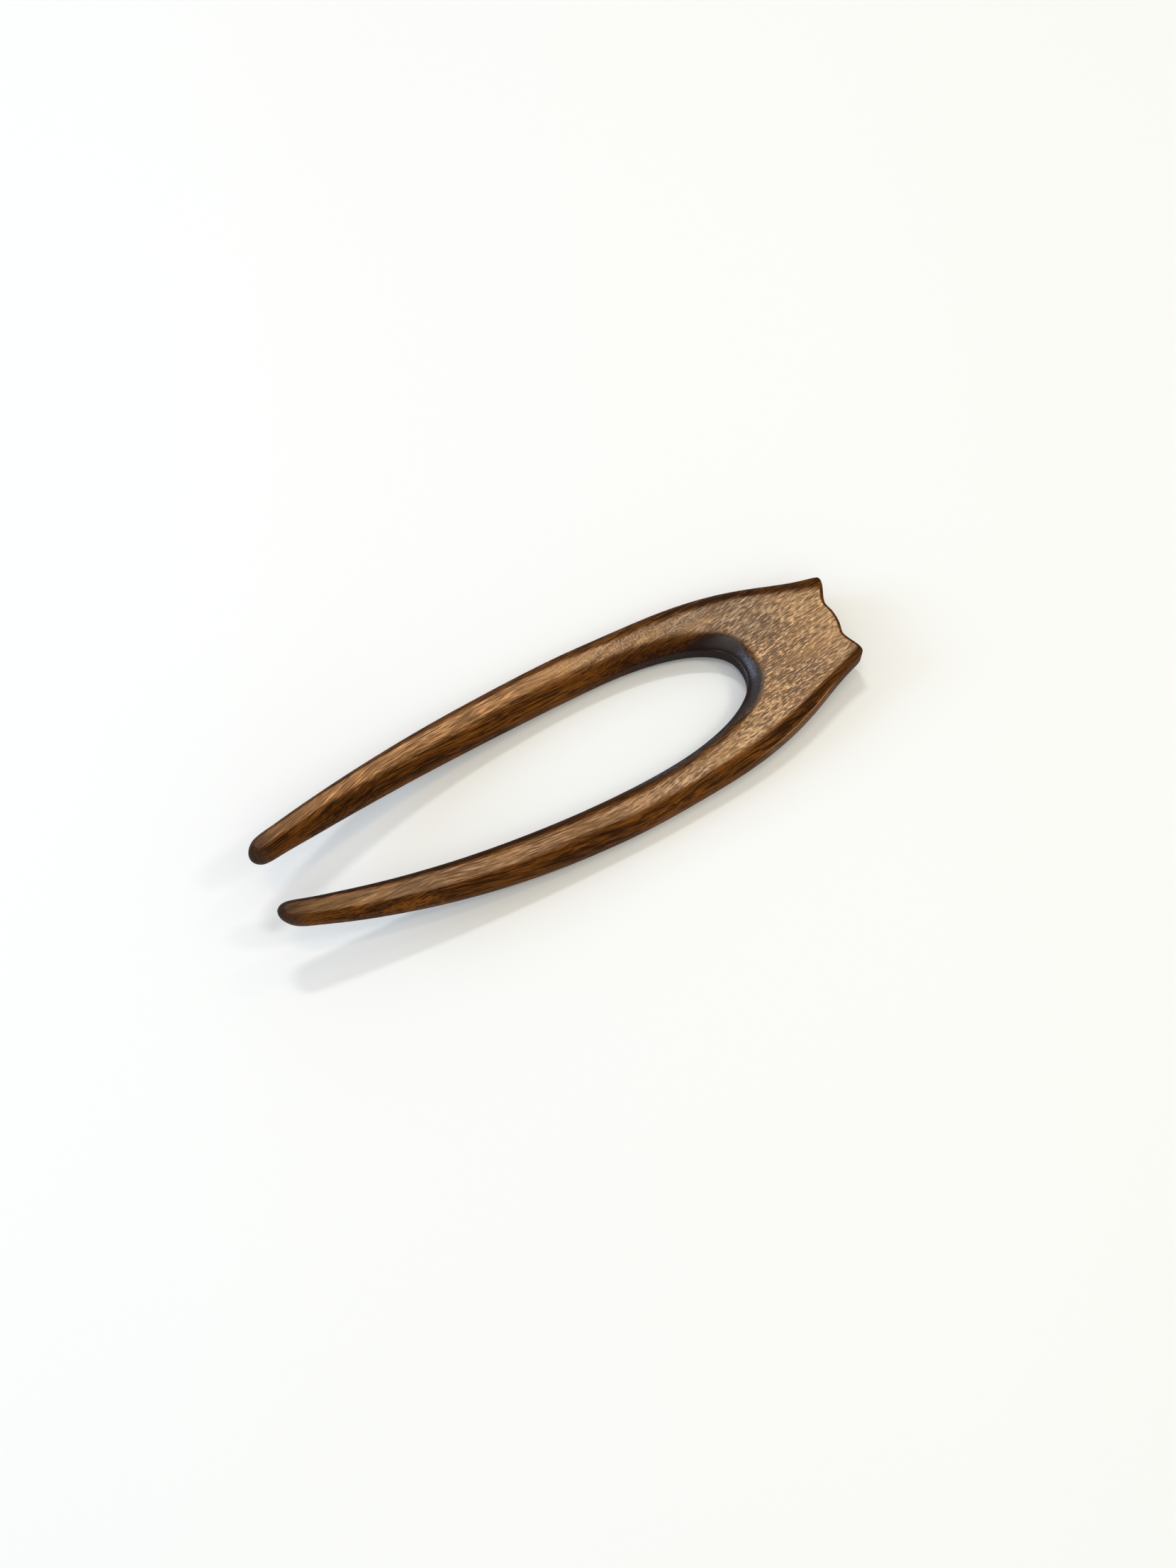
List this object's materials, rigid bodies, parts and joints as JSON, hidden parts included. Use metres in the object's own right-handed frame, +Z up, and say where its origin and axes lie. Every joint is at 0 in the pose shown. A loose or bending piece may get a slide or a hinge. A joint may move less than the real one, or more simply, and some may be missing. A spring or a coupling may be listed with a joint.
{
  "type": "wooden hair fork",
  "caption": "One-piece wooden hair fork with tapering prongs, a flat head and a crown between pointed ears, lying on its curved back.",
  "frame": {"origin": "middle of the bounding box in plan, on the surface the fork lies on", "axes": "+X along the fork from the prong noses to the head, +Y across the prongs, +Z up"},
  "size_m": [0.1418, 0.0448, 0.0222],
  "materials": {
    "dark_wood": "oiled satin"
  },
  "bodies": {
    "root": {"fork_body": "dark_wood"}
  },
  "joints": []
}
